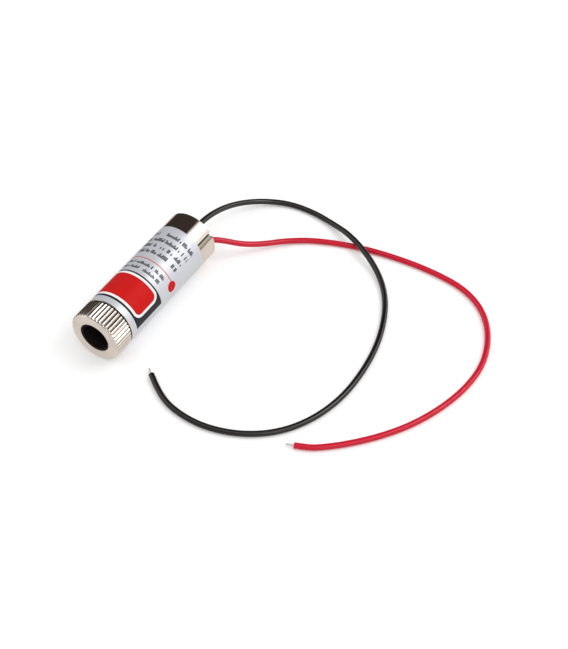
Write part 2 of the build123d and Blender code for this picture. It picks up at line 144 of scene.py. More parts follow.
# %% Helpers for the finishes
class Value:
    """An output of a node, with the usual operators."""

    def __init__(self, shader, socket):
        self.shader, self.socket = shader, socket

    def maths(self, operation, *others):
        return self.shader.add("ShaderNodeMath", {"operation": operation}, dict(enumerate((self, *others))))

    def __add__(self, other):
        return self.maths("ADD", other)

    def __mul__(self, other):
        return self.maths("MULTIPLY", other)

    def __sub__(self, other):
        return self.maths("SUBTRACT", other)

    def __rsub__(self, other):
        return self * -1 + other

    def __truediv__(self, other):
        return self.maths("DIVIDE", other)

    def __gt__(self, other):
        return self.maths("GREATER_THAN", other)

    def __lt__(self, other):
        return self.maths("LESS_THAN", other)

    __radd__, __rmul__ = __add__, __mul__


class Shader:
    """A node tree of a material or of the world, whose nodes are added one call at a time."""

    def __init__(self, owner):
        owner.use_nodes = True
        self.owner, self.tree = owner, owner.node_tree

    def add(self, kind, settings=None, inputs=None, output=0):
        """Adds a node, applies its settings, then sets or links its inputs, and returns one output."""
        node = self.tree.nodes.new(kind)
        for name, setting in (settings or {}).items():
            setattr(node, name, setting)
        self.feed(node, inputs or {})
        return Value(self, node.outputs[output])

    def feed(self, node, inputs):
        """Sets a node's inputs to plain values, or links them to the outputs given."""
        for name, given in inputs.items():
            if isinstance(given, Value):
                self.tree.links.new(given.socket, node.inputs[name])
            else:
                node.inputs[name].default_value = given

    def surface(self, **sockets):
        """Sets the main shader's sockets, written with underscores for spaces."""
        main = self.tree.nodes["Principled BSDF"]
        self.feed(main, {name.replace("_", " "): given for name, given in sockets.items()})
        print(self.owner.name, "is made of", len(self.tree.nodes), "nodes")
        return self.owner

    def place(self):
        """The point's place in the object's own coordinates, in metres."""
        return self.add("ShaderNodeTexCoord", output="Object")

    def axes(self):
        """The point's X and Y, and its height over the module's axis, in millimetres."""
        place = self.add("ShaderNodeVectorMath", {"operation": "SCALE"}, {0: self.place(), "Scale": 1000})
        x, y, z = (self.add("ShaderNodeSeparateXYZ", None, {0: place}, output=i) for i in range(3))
        return x, y, z - AXIS_HEIGHT / MM

    def noise(self, scale, detail=2.0, vector=None, roughness=0.5):
        """Soft noise between 0 and 1, with about so many bumps to the metre."""
        return self.add(
            "ShaderNodeTexNoise", None,
            {"Vector": vector or self.place(), "Scale": scale, "Detail": detail, "Roughness": roughness},
        )

    def vector(self, x, y, z):
        return self.add("ShaderNodeCombineXYZ", None, {0: x, 1: y, 2: z})

    def blend(self, amount, first, second):
        """A colour between two others."""
        return self.add("ShaderNodeMix", {"data_type": "RGBA"}, {0: amount, 6: first, 7: second}, output=2)

    def ease(self, value, low, high, new_low=0.0, new_high=1.0):
        """Maps a range of values to another, softly and without going past its ends."""
        return self.add(
            "ShaderNodeMapRange", {"interpolation_type": "SMOOTHSTEP"},
            {"Value": value, "From Min": low, "From Max": high, "To Min": new_low, "To Max": new_high},
        )

    def bump(self, height, distance):
        """A bump of so many metres where the height goes from 0 to 1."""
        return self.add("ShaderNodeBump", None, {"Height": height, "Distance": distance})


def finish_named(name):
    return Shader(bpy.data.materials.new(name))


def colour(red, green, blue):
    """An 8-bit screen colour as the linear values that a shader takes."""
    screen = [part / 255 for part in (red, green, blue)]
    linear = [part / 12.92 if part <= 0.04 else ((part + 0.055) / 1.055) ** 2.4 for part in screen]
    return (*linear, 1.0)


def darker(tone, share):
    """A share of an 8-bit screen colour."""
    return [part * share for part in tone]


def within(value, low, high):
    """1 between two values and 0 outside them."""
    return (value > low) * (value < high)


def paint(piece, material):
    """Gives a piece one material."""
    piece.data.materials.clear()
    piece.data.materials.append(material)


# %% [markdown]
# The plating on the tube and the cap is bright nickel over brass: a mirror with a faint warm tone.
# A turned surface has fine marks round the axis, so their pattern depends only on the distance along
# the axis and on the radius. They are too fine to model, and a bump is enough. Faint smudges change
# the gloss a little from place to place. Down in the cap's grooves the plating is duller, and its tone
# is darkened there as painted shade. The wall of the cap's bore gets a dark brownish tone and less gloss.

# %% Bright nickel
# A little nearer to the axis than the bottom of the grooves, in millimetres
FLUTE_ROOT = 5.7


def nickel(name, tone, gloss, mark_depth, grooves=False):
    """Bright nickel plate over turned metal, with its turning marks and smudges. For the cap, a duller
    gloss and painted shade deep in the grooves, and a dark, less glossy bore wall.
    """
    plate = finish_named(name)
    x, y, z = plate.axes()
    radius = (x * x + z * z).maths("SQRT")
    marks = plate.noise(9.0, 4, plate.vector(radius, y, 0.0), 0.65)
    smudge = plate.noise(260, 3)
    tint = plate.blend(plate.ease(smudge, 0.35, 0.7), colour(*tone), colour(*darker(tone, 0.95)))
    shine = plate.ease(smudge, 0.35, 0.75, gloss, gloss + 0.07)
    if grooves:
        # How far a point is under the head's outer surface, its front chamfer included
        outside = (y - (FACE - FACE_RADIUS)).maths("MINIMUM", TUBE_RADIUS / MM)
        # Deep in the grooves the gloss is duller, and the tone is darkened as painted shade
        groove_shade_and_dull = plate.ease(outside - radius, 0.12, 0.25) * (radius > FLUTE_ROOT)
        tint = plate.blend(groove_shade_and_dull, tint, colour(150, 136, 122))
        # The mask below marks the wall of the bore, which gets a dark brownish tone and less gloss
        bare = radius < BORE_RADIUS + 0.06
        tint = plate.blend(bare, tint, colour(70, 62, 54))
        shine = shine + groove_shade_and_dull * 0.2 + bare * 0.4
    return plate.surface(
        Base_Color=tint,
        Metallic=1.0,
        Roughness=shine,
        Normal=plate.bump(marks, mark_depth),
    )


paint(NODES["body_tube"], nickel("tube_nickel", (235, 227, 218), 0.09, 0.5e-6))
cap_nickel = nickel("cap_nickel", (233, 226, 219), 0.15, 1.2e-6, grooves=True)

# %% [markdown]
# The label is a silver film with a simple generic print: a red stripe with a white edge on a black
# block, a thin red line with a red dot, and rows of plain dark bars, some of them short and some left
# out by chance. An image could carry the print, but shader maths stays sharp at any distance. It is
# laid out in millimetres along the tube and degrees round it, from the top towards +X, so each area
# below is two places along the tube and two angles.

# %% Printed film
ROW_PLACES = (-1.35, 0.2, 3.9, 5.85, 7.75, 9.8)
ROW_HEIGHTS = (0.85, 0.85, 1.05, 1.05, 1.05, 1.05)
ROW_START, ROW_ENDS = -104.0, (50.0, 55.0, 58.0, 58.0, 61.0, 61.0)
BAR_PITCH, BAR_SHARE = 3.3, 0.8
# A bar is left out under the first chance, and shorter by the third share over the second
LEFT_OUT, SHORT_ABOVE, SHORT_BY = 0.24, 0.68, 0.4
BLOCK, LINE = (-11.05, -2.4, -117.0, 91.0), (1.95, 2.15, -104.0, 76.0)
EDGE, EDGE_CORNER = (-10.5, -2.8, -101.0, 74.0), 1.9
STRIPE, STRIPE_CORNER = (-9.9, -3.4, -95.0, 68.0), 1.3
DOT_PLACE, DOT_TURN, DOT_RADIUS = 1.7, 78.0, 1.25
DEGREE_MM = TUBE_RADIUS / MM * pi / 180


def area(y, turn, low, high, start, last):
    """1 inside a plain area of the print and 0 outside it."""
    return within(y, low, high) * within(turn, start, last)


def rounded_area(y, turn, low, high, start, last, corner):
    """1 inside an area with round corners and 0 outside it."""
    along = ((y - (low + high) / 2).maths("ABSOLUTE") - ((high - low) / 2 - corner)).maths("MAXIMUM", 0.0)
    reach = (turn - (start + last) / 2).maths("ABSOLUTE") - (last - start) / 2
    around = (reach * DEGREE_MM + corner).maths("MAXIMUM", 0.0)
    return (along * along + around * around) < corner ** 2


def printed_film(name):
    """Silver film with its print. Ink is a little rougher than the film, and isn't metallic."""
    film = finish_named(name)
    x, y, z = film.axes()
    turn = x.maths("ARCTAN2", z) * (180 / pi)
    # Every bar gets its own chance number, by which it is left out, short or whole
    bar, part = (turn / BAR_PITCH).maths("FLOOR"), (turn / BAR_PITCH).maths("FRACT")
    rows = []
    for number, (low, tall, last) in enumerate(zip(ROW_PLACES, ROW_HEIGHTS, ROW_ENDS)):
        seed = film.vector(bar, number * 7.0 + 3, 0.0)
        chance = film.add("ShaderNodeTexWhiteNoise", None, {"Vector": seed})
        short = (chance > SHORT_ABOVE) * (tall * SHORT_BY)
        row = area(y, turn, low, low + tall - short, ROW_START, last)
        rows.append(row * (chance > LEFT_OUT) * (part < BAR_SHARE))
    edge = rounded_area(y, turn, *EDGE, EDGE_CORNER)
    stripe = rounded_area(y, turn, *STRIPE, STRIPE_CORNER)
    along, around = y - DOT_PLACE, (turn - DOT_TURN) * DEGREE_MM
    dot = (along * along + around * around) < DOT_RADIUS ** 2
    red = stripe + area(y, turn, *LINE) + dot
    dark = (area(y, turn, *BLOCK) * (1 - edge) + sum(rows)) * (1 - red)
    white = edge * (1 - stripe)
    ink = (red + dark + white).maths("MINIMUM", 1.0)
    grain = film.noise(700, 3)
    wave = film.noise(180, 2)
    tone = film.blend(grain, colour(214, 217, 223), colour(203, 206, 213))
    tone = film.blend(dark.maths("MINIMUM", 1.0), tone, colour(38, 36, 41))
    tone = film.blend(white, tone, colour(240, 238, 238))
    tone = film.blend(red.maths("MINIMUM", 1.0), tone, colour(200, 12, 9))
    return film.surface(
        Base_Color=tone,
        Metallic=0.35 * (1 - ink),
        Roughness=film.ease(grain, 0.3, 0.7, 0.4, 0.5) + ink * 0.05,
        Normal=film.bump(wave, 25e-6),
        Specular_IOR_Level=0.15,
        Coat_Weight=0.1 * (1 - red),
        Coat_Roughness=0.25,
    )


paint(NODES["label_wrap"], printed_film("printed_film"))

# %% [markdown]
# The lens cell is turned aluminium with a black anodised skin. Fine grooves down its bore keep stray
# light out of the beam, and show as faint rings. The lens and the diode's window are clear glass. The
# metals inside the tube are hardly seen, so they share one finish: a tone and a gloss that change
# softly in patches, over a fine grain.

# %% Anodised black, glass and the metals inside
BORE_RING_PITCH = 0.25


def anodised(name):
    """Matt black skin over fine turned rings."""
    skin = finish_named(name)
    x, y, z = skin.axes()
    rings = (y * (2 * pi / BORE_RING_PITCH)).maths("SINE") * 0.5 + 0.5
    speck = skin.noise(1500, 2)
    return skin.surface(
        Base_Color=skin.blend(speck, colour(24, 20, 18), colour(34, 29, 26)),
        Roughness=skin.ease(speck, 0.3, 0.7, 0.55, 0.68),
        Specular_IOR_Level=0.08,
        Normal=skin.bump(rings, 12e-6),
    )


def glass(name, tint, coating):
    """Clear glass with a faint coating colour that gathers in patches."""
    clear = finish_named(name)
    film = clear.noise(300, 1)
    return clear.surface(
        Base_Color=clear.blend(film, colour(*tint), colour(*coating)),
        Roughness=clear.ease(film, 0.2, 0.8, 0.0, 0.02),
        Transmission_Weight=1.0,
        IOR=1.5,
    )


def metal(name, tone, worn, gloss, grain_scale, grain_depth):
    """A plain metal whose tone and gloss change softly in patches."""
    plain = finish_named(name)
    patch, grain = plain.noise(420, 3), plain.noise(grain_scale, 3)
    return plain.surface(
        Base_Color=plain.blend(plain.ease(patch, 0.35, 0.7), colour(*tone), colour(*worn)),
        Metallic=1.0,
        Roughness=plain.ease(patch, 0.3, 0.7, gloss, gloss + 0.12),
        Normal=plain.bump(grain, grain_depth),
    )


def moulded(name, tone, shade, gloss):
    """Moulded resin with a fine even grain."""
    resin = finish_named(name)
    grain, patch = resin.noise(6000, 2), resin.noise(500, 2)
    return resin.surface(
        Base_Color=resin.blend(patch, colour(*tone), colour(*shade)),
        Roughness=resin.ease(patch, 0.3, 0.7, gloss, gloss + 0.1),
        Normal=resin.bump(grain, 6e-6),
    )


paint(NODES["lens_cell"], anodised("black_anodised"))
paint(NODES["lens"], glass("lens_glass", (250, 252, 251), (232, 246, 244)))
paint(NODES["lens_retainer"], moulded("retainer_black", (34, 33, 33), (26, 25, 26), 0.45))
paint(NODES["diode_holder"], metal("holder_brass", (212, 178, 110), (190, 156, 92), 0.3, 2500, 5e-6))
paint(NODES["diode_base"], metal("diode_gold", (236, 196, 112), (220, 176, 92), 0.2, 1800, 3e-6))
paint(NODES["diode_pins"], metal("pin_gold", (232, 192, 112), (214, 172, 92), 0.22, 1800, 3e-6))
paint(NODES["diode_can"], metal("can_nickel", (218, 214, 206), (200, 196, 190), 0.2, 1800, 3e-6))
paint(NODES["diode_window"], glass("window_glass", (252, 252, 252), (240, 246, 250)))
paint(NODES["filter_capacitor"], moulded("capacitor_yellow", (206, 160, 40), (188, 140, 30), 0.4))

# %% [markdown]
# The driver board has a green solder mask over copper tracks, which show through as lighter lines,
# and the brown of the bare laminate round its edge. The board leans over in the tube, so its pattern
# is laid out across, along and over the board rather than along the world's axes. Each track is two
# places across the board and two along it.

# %% Driver board
BOARD_LEAN = radians(29)
BOARD_THICKNESS, MASK_THICKNESS = 0.8, 0.05
TRACKS = (
    (-2.95, -2.25, 6.2, 16.4), (-1.1, -0.5, 5.0, 15.6), (0.6, 1.2, 9.6, 15.0), (1.95, 2.85, 6.2, 16.6),
    (-2.6, 2.4, 10.9, 11.4),
)


def on_board(shader):
    """The point's place across the board, along it and over its middle, in millimetres."""
    x, y, z = shader.axes()
    return x * cos(BOARD_LEAN) + z * sin(BOARD_LEAN), y, z * cos(BOARD_LEAN) - x * sin(BOARD_LEAN)


def board_finish(name):
    """Green mask over copper tracks on both faces, and bare laminate round the edge."""
    board = finish_named(name)
    across, along, over = on_board(board)
    skin = over.maths("ABSOLUTE") > BOARD_THICKNESS / 2 - MASK_THICKNESS
    tracks = sum(
        within(across, left, right) * within(along, low, high) for left, right, low, high in TRACKS
    )
    track = tracks.maths("MINIMUM", 1.0) * skin
    weave = board.noise(2600, 2)
    mask = board.blend(track, colour(22, 62, 44), colour(40, 96, 66))
    tone = board.blend(skin, board.blend(weave, colour(186, 172, 152), colour(152, 139, 122)), mask)
    return board.surface(
        Base_Color=tone,
        Roughness=0.62 - skin * 0.3,
        Normal=board.bump(track + weave * 0.25, 25e-6),
    )


paint(NODES["driver_board"], board_finish("board_mask"))

# %% [markdown]
# The transistor and the chip resistors are black bodies with tinned metal where they are soldered.
# Body and metal are one solid, so one finish has to hold both: a mask on the same board coordinates
# says where the metal starts.

# %% Parts on the board
TRANSISTOR_MIDDLE, TRANSISTOR_REACH = -1.9, 0.66
RESISTOR_BELOW, RESISTOR_ABOVE, RESISTOR_REACH = 8.6, 8.3, 0.63


def two_part(name, body, body_gloss, ends):
    """Moulded body with tinned metal ends. ends gives the mask from across, along and over."""
    chip = finish_named(name)
    tin = ends(*on_board(chip))
    grain, patch = chip.noise(5000, 2), chip.noise(500, 2)
    resin = chip.blend(patch, colour(*body), colour(*darker(body, 0.75)))
    return chip.surface(
        Base_Color=chip.blend(tin, resin, colour(205, 206, 208)),
        Metallic=tin,
        Roughness=body_gloss - tin * 0.15,
        Normal=chip.bump(grain, 5e-6),
    )


def transistor_legs(across, along, over):
    """1 on the legs, which stand out on both sides of the body."""
    return (across - TRANSISTOR_MIDDLE).maths("ABSOLUTE") > TRANSISTOR_REACH


def resistor_ends(across, along, over):
    """1 on both ends of each resistor. Those on the board's upper face sit a little nearer the cap."""
    middle = RESISTOR_BELOW - (over > 0) * (RESISTOR_BELOW - RESISTOR_ABOVE)
    return (along - middle).maths("ABSOLUTE") > RESISTOR_REACH


paint(NODES["drive_transistor"], two_part("transistor_black", (36, 35, 36), 0.45, transistor_legs))
paint(NODES["board_resistors"], two_part("resistor_black", (28, 28, 30), 0.4, resistor_ends))

# %% [markdown]
# The wires' insulation is glossy plastic, extruded over the strands. It is never quite even, so a slow
# noise gives it a very slight waviness and shifts its tone and gloss, and a fine one its skin.

# %% Wire insulation
def insulation(name, tone, shade, sheen):
    """Glossy extruded plastic. sheen is how strongly it mirrors the room."""
    plastic = finish_named(name)
    wave, fine = plastic.noise(350, 2), plastic.noise(3000, 2)
    return plastic.surface(
        Base_Color=plastic.blend(wave, colour(*tone), colour(*shade)),
        Roughness=plastic.ease(wave, 0.3, 0.7, 0.16, 0.25),
        Specular_IOR_Level=sheen,
        Normal=plastic.bump(wave + fine * 0.1, 20e-6),
    )


paint(black_wire, insulation("black_insulation", (24, 22, 23), (17, 16, 16), 0.5))
paint(red_wire, insulation("red_insulation", (208, 14, 49), (191, 10, 42), 0.35))

# %% [markdown]
# The focus cap is the piece that one touches, so it gets a finer shape than the solid: it is built
# as a lathe hand would turn it. A ring of points starts at the bore and is extruded and scaled from
# one turned edge to the next. Twelve points to each flute leave enough to press the grooves in after.
# The helpers come first: they open and close a mesh, pick points by their place, and turn a profile.

# %% Helpers for modelling
def edit(piece):
    """Opens one piece in edit mode with nothing else selected."""
    bpy.ops.object.select_all(action="DESELECT")
    piece.select_set(True)
    bpy.context.view_layer.objects.active = piece
    bpy.ops.object.mode_set(mode="EDIT")


def close(piece, angle=30):
    """Merges doubles, turns the faces outwards, leaves edit mode and smooths all but sharp edges."""
    bpy.ops.mesh.select_all(action="SELECT")
    bpy.ops.mesh.remove_doubles(threshold=0.002 * MM)
    bpy.ops.mesh.normals_make_consistent(inside=False)
    bpy.ops.object.mode_set(mode="OBJECT")
    bpy.ops.object.shade_smooth_by_angle(angle=radians(angle))


def choose(piece, wanted):
    """Selects the points for which wanted(point) is true, and returns how many there are."""
    bpy.ops.mesh.select_mode(type="VERT")
    bpy.ops.mesh.select_all(action="DESELECT")
    mesh = bmesh.from_edit_mesh(piece.data)
    chosen = [point for point in mesh.verts if wanted(point.co)]
    for point in chosen:
        point.select = True
    mesh.select_flush(True)
    bmesh.update_edit_mesh(piece.data)
    return len(chosen)


def axis_radius(point):
    """How far a point lies from the module's axis, in millimetres."""
    return hypot(point.x, point.z - AXIS_HEIGHT) / MM


def axis_turn(point):
    """A point's angle round the axis, in degrees from the top towards +X."""
    return degrees(atan2(point.x, point.z - AXIS_HEIGHT))


def settle(piece):
    """Puts a piece's place, turn and scale into its mesh."""
    bpy.ops.object.select_all(action="DESELECT")
    piece.select_set(True)
    bpy.context.view_layer.objects.active = piece
    bpy.ops.object.transform_apply(location=True, rotation=True, scale=True)


def join(name, pieces):
    """Makes one piece of several, and returns it."""
    bpy.ops.object.select_all(action="DESELECT")
    for piece in pieces:
        piece.select_set(True)
    bpy.context.view_layer.objects.active = pieces[0]
    bpy.ops.object.join()
    pieces[0].name = name
    return pieces[0]


def turn_piece(name, profile, count, first_turn=0.0):
    """A turned ring: a circle of points at the profile's first place, extruded to each next one.

    The profile is a closed list of (place along the axis, radius), in millimetres.
    """
    bpy.ops.object.select_all(action="DESELECT")
    low, radius = profile[0]
    bpy.ops.mesh.primitive_circle_add(
        vertices=count, radius=radius * MM, location=(0, low * MM, AXIS_HEIGHT),
        rotation=(pi / 2, radians(first_turn), 0),
    )
    piece = bpy.context.object
    piece.name = name
    settle(piece)
    edit(piece)
    bpy.ops.mesh.select_all(action="SELECT")
    for place, wide in [*profile[1:], profile[0]]:
        bpy.ops.mesh.extrude_region_move(TRANSFORM_OT_translate={"value": (0, (place - low) * MM, 0)})
        if wide != radius:
            bpy.ops.transform.resize(
                value=(wide / radius, 1, wide / radius), center_override=(0, place * MM, AXIS_HEIGHT)
            )
        low, radius = place, wide
    return piece


# %% Cap as turned
FLUTES, FLUTE_POINTS = 42, 12
FLUTE_START = 3.0
FLUTE_PITCH = 360 / FLUTES
POINT_PITCH = FLUTE_PITCH / FLUTE_POINTS
HEAD_REAR, SEAT_FLOOR, STEM_REAR = FACE + 4.8, FACE + 4.5, CAP_HIGH.y / MM
SEAT_RADIUS, STEM_ROOT = 3.9, 4.2
BORE_EDGE, REAR_EDGE, STEM_EDGE = 0.08, 0.1, 0.2
# How far behind the face, and the radius there
CHAMFER = ((0.1, 5.75), (0.19, 5.84), (0.27, 5.92), (0.35, HEAD_RADIUS))
CAP_PROFILE = [
    (FACE + BORE_EDGE, BORE_RADIUS), (FACE, BORE_RADIUS + BORE_EDGE), (FACE, 4.6), (FACE, FACE_RADIUS),
    *[(FACE + depth, radius) for depth, radius in CHAMFER],
    (FACE + 2.5, HEAD_RADIUS), (HEAD_REAR - REAR_EDGE, HEAD_RADIUS),
    (HEAD_REAR, HEAD_RADIUS - REAR_EDGE), (HEAD_REAR, STEM_ROOT),
    (STEM_REAR - STEM_EDGE, STEM_ROOT), (STEM_REAR, STEM_ROOT - STEM_EDGE / 2), (STEM_REAR, SEAT_RADIUS),
    (SEAT_FLOOR, SEAT_RADIUS), (SEAT_FLOOR, BORE_RADIUS),
]
cap = turn_piece(
    "fluted_cap", CAP_PROFILE, FLUTES * FLUTE_POINTS, first_turn=(FLUTE_START - 90) % POINT_PITCH
)

# %% [markdown]
# The flutes are straight knurls: even slopes of about 36 degrees from a narrow rounded crest down to a
# sharp bottom. Cutting 42 grooves with booleans would leave a ragged mesh, so they are pressed in by
# scaling only their points towards the axis. A point's depth depends only on how many points away from
# the middle of its groove it is.

# %% Flutes
GROOVE_DEPTHS = (0.25, 0.22, 0.165, 0.11, 0.055, 0.012)
FLUTED_RADII = (5.84, HEAD_RADIUS - REAR_EDGE, 5.92, HEAD_RADIUS)


def flute_column(point):
    """How many points away from the middle of its groove a point is."""
    offset = (axis_turn(point) - FLUTE_START + FLUTE_PITCH / 2) % FLUTE_PITCH - FLUTE_PITCH / 2
    return abs(round(offset / POINT_PITCH))


for column, depth in enumerate(GROOVE_DEPTHS):
    floor = HEAD_RADIUS - depth
    for ring in FLUTED_RADII:
        if ring > floor and choose(
            cap, lambda point: abs(axis_radius(point) - ring) < 0.004 and flute_column(point) == column
        ):
            bpy.ops.transform.resize(
                value=(floor / ring, 1, floor / ring), center_override=(0, 0, AXIS_HEIGHT)
            )
close(cap)
paint(cap, cap_nickel)
print("cap has", len(cap.data.polygons), "faces")

# %% [markdown]
# A fine thread runs round the stem behind the head. It shows in profile when the cap is turned out, so
# a bump wouldn't do. Its ridge is a small four-sided outline that the Screw modifier carries round and
# along the axis, half a millimetre for each turn, which is how far the cap travels.

# %% Stem thread
THREAD_PITCH, THREAD_TURNS, THREAD_START = 0.5, 12, 0.15
RIDGE_RADIUS, RIDGE_SQUEEZE = 0.22, 0.95
bpy.ops.object.select_all(action="DESELECT")
bpy.ops.mesh.primitive_circle_add(
    vertices=4, radius=RIDGE_RADIUS * MM, location=(0, (HEAD_REAR + THREAD_START) * MM, AXIS_HEIGHT)
)
thread = bpy.context.object
thread.name = "stem_thread"
edit(thread)
bpy.ops.mesh.select_all(action="SELECT")
bpy.ops.transform.resize(value=(1, RIDGE_SQUEEZE, 1))
bpy.ops.transform.translate(value=(STEM_ROOT * MM, 0, 0))
bpy.ops.object.mode_set(mode="OBJECT")
screw = thread.modifiers.new("screw", "SCREW")
screw.axis = "Y"
screw.screw_offset = THREAD_PITCH * MM
screw.iterations = THREAD_TURNS
screw.steps = screw.render_steps = 48
bpy.ops.object.modifier_apply(modifier="screw")
settle(thread)
edit(thread)
bpy.ops.mesh.select_all(action="DESELECT")
bpy.ops.mesh.select_mode(type="EDGE")
bpy.ops.mesh.select_non_manifold(extend=False)
bpy.ops.mesh.edge_face_add()
close(thread)
paint(thread, cap_nickel)
for piece in (cap, thread):
    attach(piece, "focus_barrel")
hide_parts("focus_cap")
print("thread has", len(thread.data.polygons), "faces")

# %% [markdown]
# The spring pushes the cap outwards and takes up the play of its thread. One end rests on the diode
# holder and the other on the cap's stem, so the spring has to stretch when the cap turns. It is a
# ring of wire carried round by a Screw modifier, and cut flat at both ends as a ground spring is.

# %% Spring
SPRING_LOW, SPRING_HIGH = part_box("focus_spring")
SPRING_RADIUS, SPRING_WIRE, SPRING_TURNS = 4.16, 0.44, 5
SPRING_PITCH = (SPRING_HIGH.y - SPRING_LOW.y) / SPRING_TURNS
bpy.ops.object.select_all(action="DESELECT")
bpy.ops.mesh.primitive_circle_add(
    vertices=14, radius=SPRING_WIRE / 2 * MM, location=(0, SPRING_LOW.y - SPRING_PITCH / 2, AXIS_HEIGHT)
)
spring = bpy.context.object
spring.name = "spring_coil"
edit(spring)
bpy.ops.mesh.select_all(action="SELECT")
bpy.ops.transform.translate(value=(SPRING_RADIUS * MM, 0, 0))
bpy.ops.object.mode_set(mode="OBJECT")
screw = spring.modifiers.new("screw", "SCREW")
screw.axis = "Y"
screw.screw_offset = SPRING_PITCH
screw.iterations = SPRING_TURNS + 1
screw.steps = screw.render_steps = 56
bpy.ops.object.modifier_apply(modifier="screw")
settle(spring)
edit(spring)
for place, side in ((SPRING_LOW.y, -1), (SPRING_HIGH.y, 1)):
    bpy.ops.mesh.select_all(action="SELECT")
    bpy.ops.mesh.bisect(
        plane_co=(0, place, 0), plane_no=(0, side, 0), clear_outer=True, use_fill=True,
        threshold=1e-7,
    )
close(spring)
paint(spring, metal("spring_steel", (196, 196, 198), (170, 170, 174), 0.24, 1500, 4e-6))
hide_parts("focus_spring")
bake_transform(spring)
print("spring has", len(spring.data.polygons), "faces")

# %% [markdown]
# The bare end of each wire is seven strands, twisted and tinned. One strand is a thin ring carried
# from end to end in steps, with a little turn at each. Six twisted copies round a straight one make
# the bundle, which is then laid in line with the end of its wire.

# %% Bare ends
STRAND_RADIUS, TIP_LENGTH = 0.083, 1.7
STRAND_STEPS, OUTER_STRANDS, OUTER_TWIST = 10, 6, 150.0
CUT_END_SIZE = 0.85


def strand(name, offset, twist):
    """One strand along +Z from the origin, at an offset from the middle, turned by the twist."""
    bpy.ops.object.select_all(action="DESELECT")
    bpy.ops.mesh.primitive_circle_add(vertices=10, radius=STRAND_RADIUS * MM, fill_type="NGON")
    piece = bpy.context.object
    piece.name = name
    edit(piece)
    bpy.ops.mesh.select_all(action="SELECT")
    bpy.ops.transform.translate(value=(offset * MM, 0, 0))
    rise, turn = TIP_LENGTH / STRAND_STEPS * MM, radians(twist / STRAND_STEPS)
    for _ in range(STRAND_STEPS):
        bpy.ops.mesh.extrude_region_move(TRANSFORM_OT_translate={"value": (0, 0, rise)})
        bpy.ops.transform.rotate(value=turn, orient_axis="Z", center_override=(0, 0, 0))
    choose(piece, lambda point: point.z > (TIP_LENGTH - 0.01) * MM)
    bpy.ops.transform.resize(value=(CUT_END_SIZE, CUT_END_SIZE, 1))
    close(piece, 40)
    return piece


def bare_end(name, route):
    """The twisted strands, from the end of the insulation on in line with the route's last run."""
    bundle = [strand(f"{name}_middle", 0.0, 0.0)]
    outer = strand(f"{name}_outer", 2 * STRAND_RADIUS, OUTER_TWIST)
    for number in range(OUTER_STRANDS):
        copy = outer.copy()
        copy.data = outer.data.copy()
        copy.rotation_euler = (0, 0, radians(360 / OUTER_STRANDS * number))
        bpy.context.scene.collection.objects.link(copy)
        bundle.append(copy)
    bpy.data.objects.remove(outer)
    tip = join(name, bundle)
    before, last = Vector(route[-2]) * MM, Vector(route[-1]) * MM
    tip.location = last
    tip.rotation_euler = (last - before).to_track_quat("Z", "X").to_euler()
    settle(tip)
    paint(tip, tinned)
    return tip


tinned = metal("tinned_copper", (240, 238, 234), (224, 221, 216), 0.42, 2000, 6e-6)
tips = {
    "black_lead": bare_end("black_bare_end", BLACK_ROUTE),
    "red_lead": bare_end("red_bare_end", RED_ROUTE),
}
for node, tip in tips.items():
    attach(tip, "housing")
    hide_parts(f"{node}_tip")
print("bare ends have", [len(tip.data.polygons) for tip in tips.values()], "faces")

# %% [markdown]
# Inside the open rear end each wire is soldered to the board, and so are the diode's pins in front.
# Solder wets the copper and climbs the metal that it holds, so a joint is a small shiny hill with a
# thin spread foot. It starts as an oval, is extruded and narrowed up to its top, and is then turned
# over with the board. The red wire and one of the pins are held on the board's lower face.

# %% Solder joints
# Each step is a share of the hill's height and how wide it is there. A hill is width, length, height
HILL_STEPS = ((0.07, 0.9), (0.26, 0.84), (0.52, 0.8), (0.74, 0.72), (0.89, 0.56), (0.97, 0.34), (1.0, 0.12))
LEAD_HILL, PIN_HILL = (1.3, 1.5, 1.15), (0.9, 1.3, 0.62)
# Where each pin crosses the board's front edge, and whether it is over (1) or under (-1) the board
PIN_SPOTS = ((0.71, 1), (-0.71, 1), (-0.71, -1))


def solder_hill(across, along, side, size):
    """A closed hill of solder on the board's upper (1) or lower (-1) face."""
    width, length, height = size
    bpy.ops.object.select_all(action="DESELECT")
    bpy.ops.mesh.primitive_circle_add(vertices=28, radius=width / 2 * MM, fill_type="NGON")
    hill = bpy.context.object
    edit(hill)
    bpy.ops.mesh.select_all(action="SELECT")
    bpy.ops.transform.resize(value=(1, length / width, 1))
    low, wide = 0.0, 1.0
    for share, narrow in HILL_STEPS:
        high = share * height
        bpy.ops.mesh.extrude_region_move(TRANSFORM_OT_translate={"value": (0, 0, (high - low) * MM)})
        bpy.ops.transform.resize(value=(narrow / wide, narrow / wide, 1), center_override=(0, 0, high * MM))
        low, wide = high, narrow
    close(hill, 50)
    turn = -BOARD_LEAN if side > 0 else pi - BOARD_LEAN
    sideways, up = Vector((cos(BOARD_LEAN), 0, sin(BOARD_LEAN))), Vector((sin(turn), 0, cos(turn)))
    foot = sideways * across + up * BOARD_THICKNESS / 2 + Vector((0, along, AXIS_HEIGHT / MM))
    hill.location = foot * MM
    hill.rotation_euler = (0, turn, 0)
    settle(hill)
    return hill


def lead_hill(route):
    """The hill of solder in front of a wire's start, on the face of the board that the wire is on."""
    x, start, z = route[0]
    z -= AXIS_HEIGHT / MM
    across = x * cos(BOARD_LEAN) + z * sin(BOARD_LEAN)
    over = z * cos(BOARD_LEAN) - x * sin(BOARD_LEAN)
    return solder_hill(across, start - LEAD_HILL[1] / 2, 1 if over > 0 else -1, LEAD_HILL)


